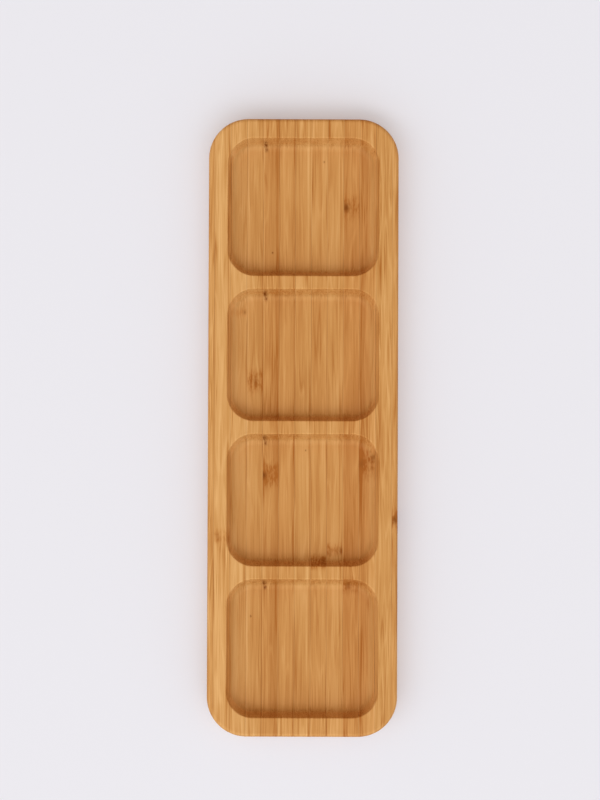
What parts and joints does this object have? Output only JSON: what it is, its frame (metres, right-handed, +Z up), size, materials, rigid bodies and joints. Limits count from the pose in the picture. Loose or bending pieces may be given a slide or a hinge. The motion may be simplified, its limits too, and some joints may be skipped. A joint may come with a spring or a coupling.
{
  "type": "divided compartment plate",
  "caption": "Long rounded bamboo serving plate with a row of coved compartments, glued up from upright strips.",
  "frame": {"origin": "middle of the flat underside", "axes": "+Z up, out of the compartments; +Y along the strips, towards the top of the picture; +X across the strips, to the right in the picture"},
  "size_m": [0.12, 0.39, 0.018],
  "materials": {
    "bamboo_pale": "oiled bamboo, satin, pale strip with fine fibres along its length",
    "bamboo_honey": "oiled bamboo, satin, honey-coloured strip with fine fibres along its length",
    "bamboo_amber": "oiled bamboo, satin, darker amber strip with fine fibres along its length",
    "glue": "thin cured glue line, brown"
  },
  "bodies": {
    "root": {"left_edge_strip": "bamboo_honey", "bamboo_strip_01": "bamboo_honey", "bamboo_strip_02": "bamboo_honey", "bamboo_strip_03": "bamboo_pale", "bamboo_strip_04": "bamboo_honey", "bamboo_strip_05": "bamboo_pale", "bamboo_strip_06": "bamboo_honey", "bamboo_strip_07": "bamboo_pale", "bamboo_strip_08": "bamboo_pale", "bamboo_strip_09": "bamboo_amber", "bamboo_strip_10": "bamboo_amber", "bamboo_strip_11": "bamboo_honey", "right_edge_strip": "bamboo_amber", "glue_line_01": "glue", "glue_line_02": "glue", "glue_line_03": "glue", "glue_line_04": "glue", "glue_line_05": "glue", "glue_line_06": "glue", "glue_line_07": "glue", "glue_line_08": "glue", "glue_line_09": "glue", "glue_line_10": "glue", "glue_line_11": "glue", "glue_line_12": "glue"}
  },
  "joints": []
}
